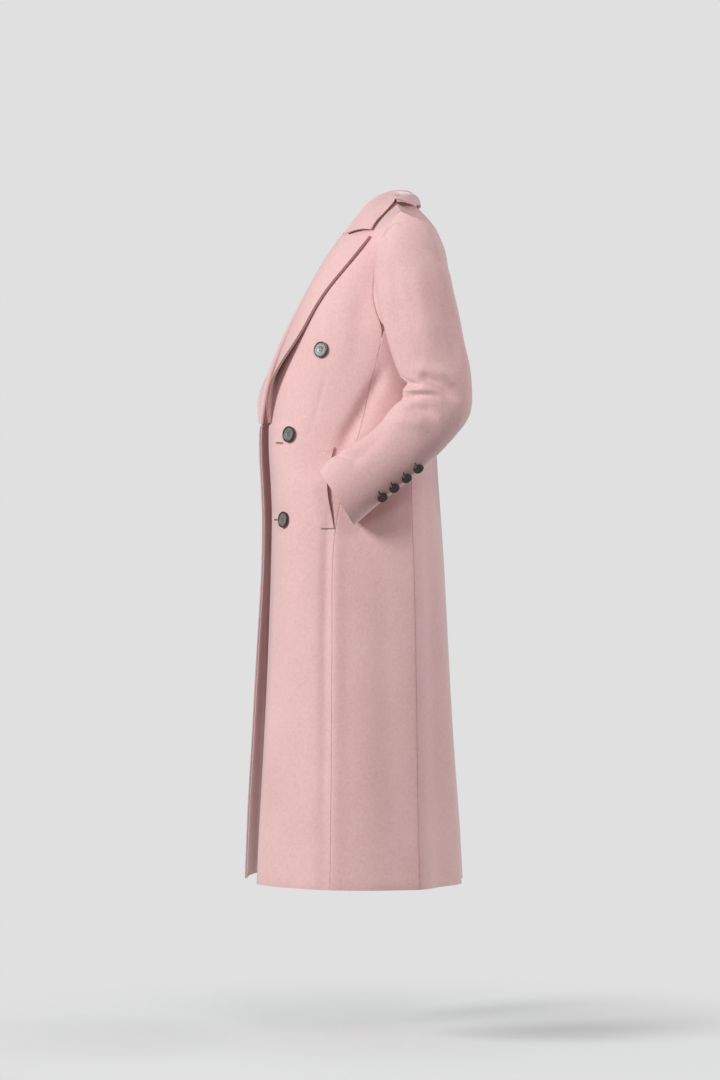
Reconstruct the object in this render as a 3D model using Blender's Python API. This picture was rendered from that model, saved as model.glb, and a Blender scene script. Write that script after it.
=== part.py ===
# A long double-breasted wool coat, worn open, as hollow cloth walls on a general figure.
# Metres, +Z up. The front faces -Y and the wearer's left is +X. Z = 0 is the level of the neck seam at the shoulders.
import functools
import math

import bmesh
import bpy
import numpy as np
from mathutils import Vector

CLOTH = 0.0022  # wall of the heavy wool
SEAM = 0.0006  # gap between two pieces at a seam
HEM_Z = -1.246
UNDERARM_Z = -0.25
BREAK_Z = -0.412  # where the lapel starts to roll, at the middle pair of buttons
GORGE_Z = -0.0745  # top of the lapel at the roll line
NECK_POINT = (0.072, 0.028, -0.006)  # where the shoulder seam meets the neck
SHOULDER_TIP = (0.203, 0.036, -0.036)
BACK_NECK = (0.0, 0.069, -0.014)
FRONT_BUTTON = 0.029
CUFF_BUTTON = 0.0188

# The body's level sections, hem last: each is a half oval on either side with its own front depth.
# height, front of the left half, front of the right half, back, half width, y of the widest place, front and back power
SECTIONS = (
    (-0.250, -0.166, -0.175, 0.122, 0.192, 0.030, 2.20, 2.5),
    (-0.330, -0.192, -0.203, 0.112, 0.187, 0.026, 2.35, 2.4),
    (-0.412, -0.201, -0.217, 0.104, 0.184, 0.022, 2.60, 2.3),
    (-0.520, -0.199, -0.217, 0.107, 0.186, 0.020, 3.10, 2.3),
    (-0.640, -0.199, -0.217, 0.116, 0.198, 0.016, 3.30, 2.3),
    (-0.800, -0.206, -0.226, 0.125, 0.222, 0.010, 2.90, 2.3),
    (-0.920, -0.213, -0.232, 0.131, 0.235, 0.004, 2.60, 2.3),
    (-1.067, -0.227, -0.241, 0.141, 0.252, -0.004, 2.45, 2.3),
    (-1.246, -0.243, -0.249, 0.152, 0.270, -0.012, 2.30, 2.3),
)
# height, x of the left front edge, x of the right front edge, y of the side-front seam, y of the side-back seam
SEAMS = (
    (-0.250, 0.062, 0.052, 0.006, 0.078),
    (-0.330, 0.054, 0.036, -0.013, 0.066),
    (-0.412, 0.050, 0.020, -0.032, 0.058),
    (-0.520, 0.052, 0.010, -0.064, 0.055),
    (-0.600, 0.056, 0.006, -0.082, 0.057),
    (-0.800, 0.072, -0.002, -0.086, 0.061),
    (-1.067, 0.112, -0.014, -0.088, 0.064),
    (-1.246, 0.140, -0.020, -0.090, 0.068),
)
# The armhole of the left half, from the side-front seam up over the shoulder tip and down to the side-back seam.
ARMHOLE_FRONT = ((0.1895, 0.006, -0.250), (0.177, -0.012, -0.205), (0.172, -0.012, -0.150),
                 (0.182, -0.001, -0.095), (0.195, 0.018, -0.055), SHOULDER_TIP)
ARMHOLE_BACK = ((0.183, 0.078, -0.250), (0.172, 0.103, -0.205), (0.170, 0.103, -0.150),
                (0.182, 0.085, -0.095), (0.196, 0.060, -0.055), SHOULDER_TIP)
# The roll line, from the underarm level up to the gorge and on along the neckline to the shoulder seam.
# height, x and y
ROLL = (
    (-0.175, 0.076, -0.124),
    (-0.110, 0.082, -0.087),
    (GORGE_Z, 0.083, -0.062),
    (-0.038, 0.080, -0.032),
    (-0.006, 0.072, 0.028),
)
# height and y
CENTRE_BACK = (
    (-0.180, 0.127),
    (-0.110, 0.124),
    (-0.055, 0.106),
    (-0.014, 0.069),
)
# height, width of the lapel on the panel, how far its outer edge stands off the panel, radius of the roll
LAPEL = (
    (-0.412, 0.0030, 0.0016, 0.0008),
    (-0.385, 0.0140, 0.0110, 0.0012),
    (-0.355, 0.0260, 0.0180, 0.0022),
    (-0.320, 0.0380, 0.0160, 0.0030),
    (-0.285, 0.0470, 0.0095, 0.0032),
    (-0.250, 0.0540, 0.0035, 0.0030),
    (-0.180, 0.0640, 0.0020, 0.0030),
    (-0.110, 0.0790, 0.0016, 0.0028),
    (-0.0745, 0.0900, 0.0016, 0.0025),
)

# The left sleeve's level rings, from just past the armhole to the cuff. Front and back are where its outline passes,
# rim is how far out those two lie, outer and inner are how far out its other two sides lie, and lift and drop are
# how much higher and lower these are than the middle of front and back.
# front y, front z, back y, back z, rim x, outer x, inner x, lift, drop
SLEEVE = (
    (-0.0120, -0.131, 0.114, -0.119, 0.186, 0.2230, 0.1960, 0.072, 0.128),
    (-0.0085, -0.163, 0.125, -0.160, 0.200, 0.2375, 0.1970, 0.076, 0.097),
    (-0.0030, -0.199, 0.134, -0.197, 0.212, 0.2470, 0.1980, 0.068, 0.067),
    (0.0020, -0.234, 0.143, -0.233, 0.220, 0.2535, 0.1990, 0.051, 0.043),
    (0.0120, -0.272, 0.150, -0.270, 0.227, 0.2595, 0.2005, 0.035, 0.024),
    (0.0220, -0.304, 0.159, -0.313, 0.233, 0.2660, 0.2020, 0.018, 0.012),
    (0.0330, -0.336, 0.164, -0.358, 0.238, 0.2730, 0.2030, 0.006, 0.004),
    (0.0380, -0.355, 0.165, -0.384, 0.240, 0.2765, 0.2035, 0.000, 0.000),
    (0.0340, -0.377, 0.159, -0.410, 0.240, 0.2775, 0.2035, 0.000, 0.000),
    (0.0150, -0.393, 0.139, -0.434, 0.240, 0.2770, 0.2030, 0.000, 0.000),
    (0.0020, -0.414, 0.116, -0.460, 0.238, 0.2750, 0.2020, 0.000, 0.000),
    (-0.0170, -0.432, 0.084, -0.492, 0.236, 0.2710, 0.2010, 0.000, 0.000),
    (-0.0440, -0.450, 0.049, -0.521, 0.232, 0.2660, 0.1985, 0.000, 0.000),
    (-0.0720, -0.464, 0.013, -0.551, 0.228, 0.2610, 0.1958, 0.000, 0.000),
    (-0.0950, -0.482, -0.019, -0.576, 0.224, 0.2570, 0.1932, 0.000, 0.000),
    (-0.1100, -0.501, -0.047, -0.600, 0.221, 0.2540, 0.1915, 0.000, 0.000),
)
# Half of the collar, from its front end round to the centre back: where the stand is sewn on, the top of the roll,
# and the outer edge of the fall.
COLLAR = (
    ((0.0815, -0.0590, -0.0680), (0.0830, -0.0665, -0.0660), (0.1580, -0.0172, -0.0660)),
    ((0.0790, -0.0365, -0.0430), (0.0815, -0.0440, -0.0370), (0.1480, -0.0050, -0.0480)),
    ((0.0770, -0.0120, -0.0235), (0.0780, -0.0240, -0.0120), (0.1350, 0.0085, -0.0325)),
    ((0.0740, 0.0100, -0.0110), (0.0730, 0.0020, 0.0050), (0.1220, 0.0225, -0.0222)),
    ((0.0690, 0.0300, -0.0045), (0.0670, 0.0270, 0.0120), (0.1080, 0.0390, -0.0150)),
    ((0.0540, 0.0510, -0.0110), (0.0540, 0.0460, 0.0125), (0.0830, 0.0600, -0.0145)),
    ((0.0300, 0.0640, -0.0145), (0.0300, 0.0570, 0.0115), (0.0450, 0.0725, -0.0130)),
    ((0.0000, 0.0675, -0.0155), (0.0000, 0.0600, 0.0110), (0.0000, 0.0755, -0.0120)),
)
# Buttons of one front: height, distance from the front edge or the roll along the panel, and lifts of the left and the
# right one off the curve, which the panels' flat facets cut inside of.
FRONT_BUTTONS = ((-0.2834, 0.118, 0.0006, 0.0006), (-0.435, 0.094, 0.0004, -0.0002), (-0.589, 0.085, 0.0006, 0.0006))
# The pocket's welt: height, y of its front edge, y of its open edge, how far the open edge stands off
WELT = (
    (-0.4590, -0.1150, -0.0830, 0.0000),
    (-0.4760, -0.1180, -0.0870, 0.0010),
    (-0.4980, -0.1215, -0.0920, 0.0030),
    (-0.5220, -0.1230, -0.0950, 0.0040),
    (-0.5500, -0.1200, -0.0930, 0.0035),
    (-0.5800, -0.1140, -0.0870, 0.0015),
    (-0.6050, -0.1080, -0.0825, 0.0000),
)
CUFF_BUTTON_STATIONS = (12.35, 12.95, 13.55, 14.15)
CUFF_BUTTON_TURN = 152

PINK = (0.80, 0.54, 0.53, 1.0)
BUTTON_BROWN = (0.045, 0.028, 0.024, 1.0)


# Reads a table by its first column, as a smooth curve through the rows.
def smooth_read(table, height, column):
    rows = sorted(table)
    keys = [row[0] for row in rows]
    values = [row[column] for row in rows]
    slopes = np.gradient(values, keys)
    return hermite(keys, values, slopes, height)


def hermite(keys, values, slopes, at):
    at = min(max(at, keys[0]), keys[-1])
    i = min(int(np.searchsorted(keys, at, side="right")) - 1, len(keys) - 2)
    step = keys[i + 1] - keys[i]
    t = (at - keys[i]) / step
    return ((1 + 2 * t) * (1 - t) ** 2 * values[i] + t * (1 - t) ** 2 * step * slopes[i]
            + t * t * (3 - 2 * t) * values[i + 1] + t * t * (t - 1) * step * slopes[i + 1])


# A smooth curve through given points, read at a share of its length.
def smooth_path(points, share):
    points = np.array(points, float)
    lengths = np.concatenate(([0.0], np.cumsum(np.linalg.norm(np.diff(points, axis=0), axis=1))))
    slopes = np.gradient(points, lengths, axis=0)
    at = share * lengths[-1]
    return np.array([hermite(lengths, points[:, k], slopes[:, k], at) for k in range(3)])


@functools.lru_cache(maxsize=None)
def body_axes(side, height):
    front = smooth_read(SECTIONS, height, 1 if side > 0 else 2)
    back, width, middle, front_power, back_power = (smooth_read(SECTIONS, height, k) for k in range(3, 8))
    return front, back, width, middle, front_power, back_power


# A point of the body at an angle: 0 is the centre front, 90 the side and 180 the centre back.
def body_point(side, angle, height):
    front, back, width, middle, front_power, back_power = body_axes(side, height)
    turn = math.radians(angle)
    power = front_power if angle < 90 else back_power
    depth = middle - front if angle < 90 else back - middle
    across = math.copysign(abs(math.sin(turn)) ** (2 / power), math.sin(turn))
    along = math.copysign(abs(math.cos(turn)) ** (2 / power), math.cos(turn))
    return np.array((side * width * across, middle - depth * along, height))


def angle_at_x(side, x, height):
    width, power = body_axes(side, height)[2], body_axes(side, height)[4]
    share = math.copysign(abs(x / width) ** (power / 2), x)
    return math.degrees(math.asin(share))


def angle_at_y(side, y, height):
    front, back, _, middle, front_power, back_power = body_axes(side, height)
    if y < middle:
        return math.degrees(math.acos(((middle - y) / (middle - front)) ** (front_power / 2)))
    return 180 - math.degrees(math.acos(((y - middle) / (back - middle)) ** (back_power / 2)))


@functools.lru_cache(maxsize=None)
def edge_angle(side, height):
    return angle_at_x(side, smooth_read(SEAMS, height, 1 if side > 0 else 2), height)


@functools.lru_cache(maxsize=None)
def side_front_angle(side, height):
    return angle_at_y(side, smooth_read(SEAMS, height, 3), height)


@functools.lru_cache(maxsize=None)
def side_back_angle(side, height):
    return angle_at_y(side, smooth_read(SEAMS, height, 4), height)


# Rows of the fronts and backs, from the hem up. The lapel spans the rows from the break to the gorge.
FRONT_HEIGHTS = (HEM_Z, -1.12, -1.0, -0.88, -0.77, -0.67, -0.58, -0.50, -0.45, BREAK_Z, -0.385, -0.355,
                 -0.320, -0.285, UNDERARM_Z, -0.215, -0.180, -0.145, -0.110, GORGE_Z, -0.050, -0.025, 0.0)
BREAK_ROW = FRONT_HEIGHTS.index(BREAK_Z)
GORGE_ROW = FRONT_HEIGHTS.index(GORGE_Z)
LAPEL_SHARES = (1.0, 0.75, 0.5, 0.25)
ROLL_TURNS = (180, 135, 90, 45, 0)
PANEL_COLUMNS = 9
FACING_WIDTH = 0.085
FACING_COLUMNS = 3
RIGHT_FORWARD = 0.009  # how much further forward the right lapel rolls than the left
COLLAR_RISE = 0.0045  # how far the stand starts above its seam line, clear of the panels' walls
COLLAR_GAP = 0.0028  # clearance of the collar's fall over the shoulders
PEAK_RISE = 0.010  # how much higher the lapel's top is at its outer edge than at the roll
NUDGE = 0.002  # step for slopes


def mirrored(side, points):
    return [(side * x, y, z) for x, y, z in points]


def patch(bottom, top, inner, outer, across, up):
    ease = up * up * (3 - 2 * up)
    edges = (1 - ease) * bottom(across) + ease * top(across) + (1 - across) * inner(up) + across * outer(up)
    corners = ((1 - across) * ((1 - ease) * bottom(0) + ease * top(0))
               + across * ((1 - ease) * bottom(1) + ease * top(1)))
    return edges - corners


def shoulder_seam(side, share):
    start = np.array(mirrored(side, [NECK_POINT])[0])
    end = np.array(mirrored(side, [SHOULDER_TIP])[0])
    sag = np.array((0.0, 0.0, -0.004)) * math.sin(math.pi * share)
    return start + (end - start) * share + sag


# A point of the front at a level and a share of the way from the front edge, or the roll, to the side.
def front_raw(side, height, across):
    if height <= UNDERARM_Z:
        start, end = edge_angle(side, height), side_front_angle(side, height)
        return body_point(side, start + (end - start) * across, height)
    up = (height - UNDERARM_Z) / -UNDERARM_Z
    corner = body_point(side, edge_angle(side, UNDERARM_Z), UNDERARM_Z)
    roll = ((UNDERARM_Z, side * corner[0], corner[1]),) + ROLL
    start, end = edge_angle(side, UNDERARM_Z), side_front_angle(side, UNDERARM_Z)

    def roll_point(u):
        level = UNDERARM_Z * (1 - u)
        forward = RIGHT_FORWARD * math.sin(math.pi * u / 0.65) if side < 0 and u < 0.65 else 0.0
        return np.array((side * smooth_read(roll, level, 1), smooth_read(roll, level, 2) - forward, level))

    return patch(
        lambda a: body_point(side, start + (end - start) * a, UNDERARM_Z),
        lambda a: shoulder_seam(side, a),
        roll_point,
        lambda u: smooth_path(mirrored(side, ARMHOLE_FRONT), u),
        across, up)


# A point of the back at a level and a share of the way from the centre back to the side.
def back_raw(side, height, across):
    if height <= UNDERARM_Z:
        end = side_back_angle(side, height)
        return body_point(side, 180 + (end - 180) * across, height)
    up = (height - UNDERARM_Z) / -UNDERARM_Z
    end = side_back_angle(side, UNDERARM_Z)
    spine = ((UNDERARM_Z, body_point(side, 180, UNDERARM_Z)[1]),) + CENTRE_BACK
    neck_share = 0.36

    def top(a):
        if a < neck_share:
            turn = math.pi / 2 * a / neck_share
            y = BACK_NECK[1] + (NECK_POINT[1] - BACK_NECK[1]) * (1 - math.cos(turn))
            z = BACK_NECK[2] + (NECK_POINT[2] - BACK_NECK[2]) * (1 - math.cos(turn))
            return np.array((side * NECK_POINT[0] * math.sin(turn), y, z))
        return shoulder_seam(side, (a - neck_share) / (1 - neck_share))

    def spine_point(u):
        height = UNDERARM_Z + (BACK_NECK[2] - UNDERARM_Z) * u
        return np.array((0.0, smooth_read(spine, height, 1), height))

    return patch(
        lambda a: body_point(side, 180 + (end - 180) * a, UNDERARM_Z),
        top, spine_point,
        lambda u: smooth_path(mirrored(side, ARMHOLE_BACK), u),
        across, up)


def side_raw(side, height, across):
    start, end = side_front_angle(side, height), side_back_angle(side, height)
    return body_point(side, start + (end - start) * across, height)


# One row of a panel as a fine line with its running length, so that columns can be placed by distance.
@functools.lru_cache(maxsize=None)
def row_line(raw, side, height):
    steps = 24
    line = np.array([raw(side, height, k / steps) for k in range(steps + 1)])
    lengths = np.concatenate(([0.0], np.cumsum(np.linalg.norm(np.diff(line, axis=0), axis=1))))
    return line, lengths


def along(raw, side, height, distance):
    line, lengths = row_line(raw, side, height)
    if distance < 0:
        return line[0] + (line[0] - line[1]) / lengths[1] * -distance
    if distance > lengths[-1]:
        step = lengths[-1] - lengths[-2]
        return line[-1] + (line[-1] - line[-2]) / step * (distance - lengths[-1])
    return np.array([np.interp(distance, lengths, line[:, k]) for k in range(3)])


def row_length(raw, side, height):
    return row_line(raw, side, height)[1][-1]


def unit(vector):
    return vector / np.linalg.norm(vector)


# The outward direction of a panel at a level and a distance from the start of its row.
def outward(raw, side, height, distance):
    top = 0.0 if raw is not side_raw else UNDERARM_Z
    low, high = max(height - NUDGE, HEM_Z), min(height + NUDGE, top)
    share = distance / row_length(raw, side, height)
    rise = (along(raw, side, high, share * row_length(raw, side, high))
            - along(raw, side, low, share * row_length(raw, side, low)))
    run = along(raw, side, height, distance + NUDGE) - along(raw, side, height, distance - NUDGE)
    normal = unit(np.cross(run, rise))
    point = along(raw, side, height, distance)
    away = np.array((point[0], point[1], max(0.0, 0.1 + height)))
    facing_out = np.dot(normal, away) > 0
    return normal if facing_out else -normal


# A cloth wall from a grid of points on one face: the other face lies a wall's thickness behind, along the given
# directions, and rims close it. Cells that are left out of the grid stay open.
def cloth_wall(name, points, outwards, has_cell, material, thickness=CLOTH):
    mesh = bmesh.new()
    rows, columns = len(points), len(points[0])
    cells = [(r, c) for r in range(rows - 1) for c in range(columns - 1) if has_cell(r, c)]
    corners = sorted({(r + i, c + j) for r, c in cells for i in (0, 1) for j in (0, 1)})
    face_on, face_off = {}, {}
    for r, c in corners:
        face_on[r, c] = mesh.verts.new(points[r][c])
        face_off[r, c] = mesh.verts.new(points[r][c] - outwards[r][c] * thickness)
    edges = {}
    for r, c in cells:
        loop = [(r, c), (r, c + 1), (r + 1, c + 1), (r + 1, c)]
        for half in ((loop[0], loop[1], loop[2]), (loop[0], loop[2], loop[3])):
            mesh.faces.new([face_on[k] for k in half])
            mesh.faces.new([face_off[k] for k in reversed(half)])
        for start, end in zip(loop, loop[1:] + loop[:1]):
            edges[start, end] = True
    for start, end in edges:
        if (end, start) not in edges:
            mesh.faces.new((face_on[end], face_on[start], face_off[start], face_off[end]))
    return finish_object(name, mesh, material)


def finish_object(name, mesh, material):
    bmesh.ops.recalc_face_normals(mesh, faces=mesh.faces)
    data = bpy.data.meshes.new(name)
    mesh.to_mesh(data)
    mesh.free()
    data.shade_smooth()
    data.set_sharp_from_angle(angle=math.radians(40))
    data.materials.append(material)
    built = bpy.data.objects.new(name, data)
    bpy.context.scene.collection.objects.link(built)
    return built


def make_material(name, colour, roughness):
    material = bpy.data.materials.new(name)
    material.use_nodes = True
    shader = material.node_tree.nodes["Principled BSDF"]
    shader.inputs["Base Color"].default_value = colour
    shader.inputs["Roughness"].default_value = roughness
    shader.inputs["Metallic"].default_value = 0.0
    return material


def side_name(side):
    return "left" if side > 0 else "right"


# A panel's grid, its first and last columns set back by half a seam.
def panel_grid(raw, side, heights, columns):
    points, outwards = [], []
    for height in heights:
        distances = columns(row_length(raw, side, height))
        points.append([along(raw, side, height, d) for d in distances])
        outwards.append([outward(raw, side, height, d) for d in distances])
    return points, outwards


def even_columns(count):
    return lambda length: np.linspace(SEAM / 2, length - SEAM / 2, count)


# The first columns of a front lie on the facing's columns, and the rest share what is left.
def front_columns(length):
    facing = min(FACING_WIDTH, 0.45 * length)
    near = np.linspace(0.0, facing, FACING_COLUMNS + 1)
    far = np.linspace(facing, length - SEAM / 2, PANEL_COLUMNS - FACING_COLUMNS)
    return np.concatenate((near, far[1:]))


# At the shoulder seam both panels are cut square to the seam, so that their walls don't cross.
def square_shoulder(side, points, outwards, away, first_column):
    across_seam = unit(np.array((side * 0.26, 0.0, 0.97)))
    for c in range(first_column, len(points[-1])):
        points[-1][c] = points[-1][c] + np.array((0.0, away * SEAM / 2, 0.0))
        outwards[-1][c] = across_seam


def build_front(side, material):
    panel, panel_out = panel_grid(front_raw, side, FRONT_HEIGHTS, front_columns)
    square_shoulder(side, panel, panel_out, -1, 0)
    lapel_columns = len(LAPEL_SHARES) + len(ROLL_TURNS) - 1
    points, outwards = [], []
    for r, height in enumerate(FRONT_HEIGHTS):
        if BREAK_ROW <= r <= GORGE_ROW:
            lapel, lapel_out = lapel_row(side, height, panel[r][0], panel_out[r][0])
        else:
            lapel, lapel_out = [panel[r][0]] * lapel_columns, [panel_out[r][0]] * lapel_columns
        points.append(lapel + panel[r])
        outwards.append(lapel_out + panel_out[r])

    def has_cell(r, c):
        return c >= lapel_columns or BREAK_ROW <= r < GORGE_ROW

    wall = cloth_wall("front_" + side_name(side), points, outwards, has_cell, material)
    build_facing(side, points, outwards, lapel_columns, material)
    return wall


# One row of the lapel, from its outer edge to the roll. It lies on the panel, so its own outward face looks down on it.
def lapel_row(side, height, roll_point, roll_out):
    width, stand_off, radius = (smooth_read(LAPEL, height, k) for k in (1, 2, 3))
    rise_share = max(0.0, 1 - (GORGE_Z - height) / 0.05)
    points, outwards = [], []
    for share in LAPEL_SHARES:
        level = height + PEAK_RISE * share * rise_share ** 2
        base = along(front_raw, side, level, width * share)
        out = outward(front_raw, side, level, width * share)
        gap = 2 * radius + (stand_off - 2 * radius) * share ** 1.5
        points.append(base + out * gap)
        outwards.append(-out)
    onward = unit(along(front_raw, side, height, 0.0) - along(front_raw, side, height, 2 * NUDGE))
    onward = unit(onward - roll_out * np.dot(onward, roll_out))
    centre = roll_point + roll_out * radius
    for turn in ROLL_TURNS[:-1]:
        angle = math.radians(turn)
        inward = roll_out * math.cos(angle) - onward * math.sin(angle)
        points.append(centre - inward * radius)
        outwards.append(inward)
    return points, outwards


# The facing follows the front's far face, from the lapel's outer edge over the roll and down inside the front edge.
def build_facing(side, points, outwards, lapel_columns, material):
    rows, row_outs = [], []
    used = lapel_columns + FACING_COLUMNS + 1
    for line, outs in zip(points, outwards):
        rows.append([p - n * (CLOTH + SEAM) for p, n in zip(line[:used], outs[:used])])
        row_outs.append(outs[:used])

    def has_cell(r, c):
        return c >= lapel_columns or BREAK_ROW <= r < GORGE_ROW

    cloth_wall("facing_" + side_name(side), rows, row_outs, has_cell, material)


def build_back(side, material):
    points, outwards = panel_grid(back_raw, side, FRONT_HEIGHTS, even_columns(8))
    for r in range(len(points)):
        points[r][0] = points[r][0] * np.array((0.0, 1.0, 1.0)) + np.array((side * SEAM / 2, 0.0, 0.0))
        outwards[r][0] = unit(outwards[r][0] * np.array((0.0, 1.0, 1.0)))
    square_shoulder(side, points, outwards, 1, 3)
    for c in range(3):
        points[-1][c] = points[-1][c] - np.array((0.0, 0.0, SEAM))
    return cloth_wall("back_" + side_name(side), points, outwards, lambda r, c: True, material)


def build_side(side, material):
    heights = [h for h in FRONT_HEIGHTS if h < UNDERARM_Z] + [UNDERARM_Z - SEAM]
    points, outwards = panel_grid(side_raw, side, heights, even_columns(5))
    return cloth_wall("side_" + side_name(side), points, outwards, lambda r, c: True, material)


# The sleeve's columns start where the rows of the front, side and back panels end, so that the armhole's edges match.
# They run from the front seam of the sleeve over its outer side to the back seam, and on under the arm.
ARMHOLE_SHARES = [1 - height / UNDERARM_Z for height in FRONT_HEIGHTS if height >= UNDERARM_Z]
FRONT_TURNS = [140 * share - 50 for share in ARMHOLE_SHARES]
BACK_TURNS = [180 - turn for turn in reversed(FRONT_TURNS[:-1])]
SIDE_TURNS = [250, 270, 290, 310]
SLEEVE_TURNS = FRONT_TURNS[2:] + BACK_TURNS + SIDE_TURNS + [turn + 360 for turn in FRONT_TURNS[1:3]]
TOP_SLEEVE_STEPS = len(FRONT_TURNS[2:] + BACK_TURNS) - 3


# The armhole as a closed loop: 0 is its front, 90 the shoulder tip, 180 its back and 270 the underarm.
def armhole_point(side, turn):
    turn = (turn + 50) % 360 - 50
    if turn <= 90:
        return smooth_path(mirrored(side, ARMHOLE_FRONT), (turn + 50) / 140)
    if turn <= 230:
        return smooth_path(mirrored(side, ARMHOLE_BACK), (230 - turn) / 140)
    return side_raw(side, UNDERARM_Z, (310 - turn) / 80)


def sleeve_rails(side, station):
    keys = range(1, len(SLEEVE) + 1)
    values = [hermite(keys, [row[k] for row in SLEEVE], np.gradient([row[k] for row in SLEEVE]), station)
              for k in range(9)]
    front_y, front_z, back_y, back_z, rim_x, outer_x, inner_x, lift, drop = values
    middle_y, middle_z = (front_y + back_y) / 2, (front_z + back_z) / 2
    return (np.array((side * rim_x, front_y, front_z)), np.array((side * rim_x, back_y, back_z)),
            np.array((side * outer_x, middle_y, middle_z + lift)),
            np.array((side * inner_x, middle_y, middle_z - drop)))


def sleeve_ring(side, station, turn):
    front, back, outer, inner = sleeve_rails(side, station)
    middle = (front + back) / 2
    swing = math.radians(turn)
    reach = outer - middle if math.sin(swing) > 0 else middle - inner
    return middle + (front - middle) * math.cos(swing) + reach * math.sin(swing)


# A point of the sleeve: station 0 is the armhole and each whole station after it is a row of the table.
def sleeve_point(side, station, turn):
    if station >= 1:
        return sleeve_ring(side, station, turn)
    start = armhole_point(side, turn) + np.array((side * 0.0012, 0.0, 0.0))
    if math.sin(math.radians(turn)) < -0.5:
        start = start + np.array((side * 0.0006, 0.0, 0.0008))
    return start + (sleeve_ring(side, 1.0, turn) - start) * station


def sleeve_outward(side, station, turn):
    low, high = max(station - 0.2, 0.0), min(station + 0.2, len(SLEEVE))
    rise = sleeve_point(side, high, turn) - sleeve_point(side, low, turn)
    run = sleeve_point(side, station, turn + 3) - sleeve_point(side, station, turn - 3)
    return unit(np.cross(rise, run)) * side


def build_sleeve_piece(name, side, turns, material):
    stations = [0, 0.5] + list(range(1, len(SLEEVE) + 1))
    points, outwards = [], []
    for station in stations:
        line = [sleeve_point(side, station, turn) for turn in turns]
        line[0] = line[0] + unit(line[1] - line[0]) * SEAM / 2
        line[-1] = line[-1] + unit(line[-2] - line[-1]) * SEAM / 2
        points.append(line)
        outwards.append([sleeve_outward(side, station, turn) for turn in turns])
    return cloth_wall(name + "_" + side_name(side), points, outwards, lambda r, c: True, material)


# Keeps a point at least a given distance outside the walls it lies on, by the few places of theirs nearest to it.
def keep_clear(point, walls, clearance):
    places, directions = walls
    for near in np.argsort(np.linalg.norm(places - point, axis=1))[:9]:
        depth = np.dot(point - places[near], directions[near])
        if depth < clearance:
            point = point + directions[near] * (clearance - depth)
    return point


def shoulder_walls():
    places, directions = [], []
    rows = [height for height in FRONT_HEIGHTS if height > -0.12]
    for raw, side in ((front_raw, 1), (front_raw, -1), (back_raw, 1), (back_raw, -1)):
        for low, high in zip(rows, rows[1:]):
            for share in np.linspace(0.01, 0.99, 14):
                ends = [along(raw, side, height, share * row_length(raw, side, height)) for height in (low, high)]
                outs = [outward(raw, side, height, share * row_length(raw, side, height)) for height in (low, high)]
                for up in (0.0, 0.33, 0.67, 1.0):
                    places.append(ends[0] * (1 - up) + ends[1] * up)
                    directions.append(unit(outs[0] * (1 - up) + outs[1] * up))
    return np.array(places), np.array(directions)


def collar_rail(which, share):
    half = np.array([row[which] for row in COLLAR])
    whole = np.concatenate((half, half[-2::-1] * np.array((-1.0, 1.0, 1.0))))
    keys = np.arange(len(whole))
    slopes = np.gradient(whole, axis=0)
    return np.array([hermite(keys, whole[:, k], slopes[:, k], share * (len(whole) - 1)) for k in range(3)])


# The collar's seen face: up the inside of the stand, over the roll and down the outside of the fall.
def collar_line(share):
    sewn, top, edge = (collar_rail(k, share) for k in range(3))
    level = np.array((1.0, 1.0, 0.0))
    outwards = unit((edge - sewn) * level)
    radius = 0.0034
    centre = top - np.array((0.0, 0.0, radius))
    bend = [centre - outwards * radius, top, centre + outwards * radius]
    slack = outwards * 0.003 + np.array((0.0, 0.0, 0.005))
    start, end = bend[0], bend[2]
    fall = [end + (edge - end) * t + slack * math.sin(math.pi * t) for t in (0.33, 0.67, 1.0)]
    sewn = sewn + np.array((0.0, 0.0, COLLAR_RISE))
    return [sewn, sewn + (start - sewn) * 0.5] + bend + fall


def build_collar(material):
    walls = shoulder_walls()
    rows = 29
    shares = np.linspace(0.0, 1.0, rows)
    points = []
    for share in shares:
        line = collar_line(share)
        points.append(line[:5] + [keep_clear(p, walls, CLOTH + COLLAR_GAP) for p in line[5:]])
    outwards = []
    for r in range(rows):
        low, high = max(r - 1, 0), min(r + 1, rows - 1)
        line = []
        for c in range(len(points[r])):
            left, right = max(c - 1, 0), min(c + 1, len(points[r]) - 1)
            line.append(unit(np.cross(points[high][c] - points[low][c], points[r][right] - points[r][left])))
        outwards.append(line)
    middle = outwards[rows // 2][-1]
    if middle[1] < 0:
        outwards = [[-n for n in line] for line in outwards]
    return cloth_wall("collar", points, outwards, lambda r, c: True, material)


# The distance along a front's row at which the panel reaches a given y.
def distance_at_y(side, height, y):
    line, lengths = row_line(front_raw, side, height)
    return float(np.interp(y, line[:, 1], lengths))


def build_welt(side, material):
    points, outwards = [], []
    for height, front_y, open_y, stand_off in WELT:
        start, end = distance_at_y(side, height, front_y), distance_at_y(side, height, open_y)
        line, outs = [], []
        for share in (0.0, 0.33, 0.67, 1.0):
            distance = start + (end - start) * share
            out = outward(front_raw, side, height, distance)
            line.append(along(front_raw, side, height, distance) + out * (CLOTH + SEAM + 0.0002 + stand_off * share ** 2))
            outs.append(out)
        points.append(line)
        outwards.append(outs)
    return cloth_wall("pocket_welt_" + side_name(side), points, outwards, lambda r, c: True, material)


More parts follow.
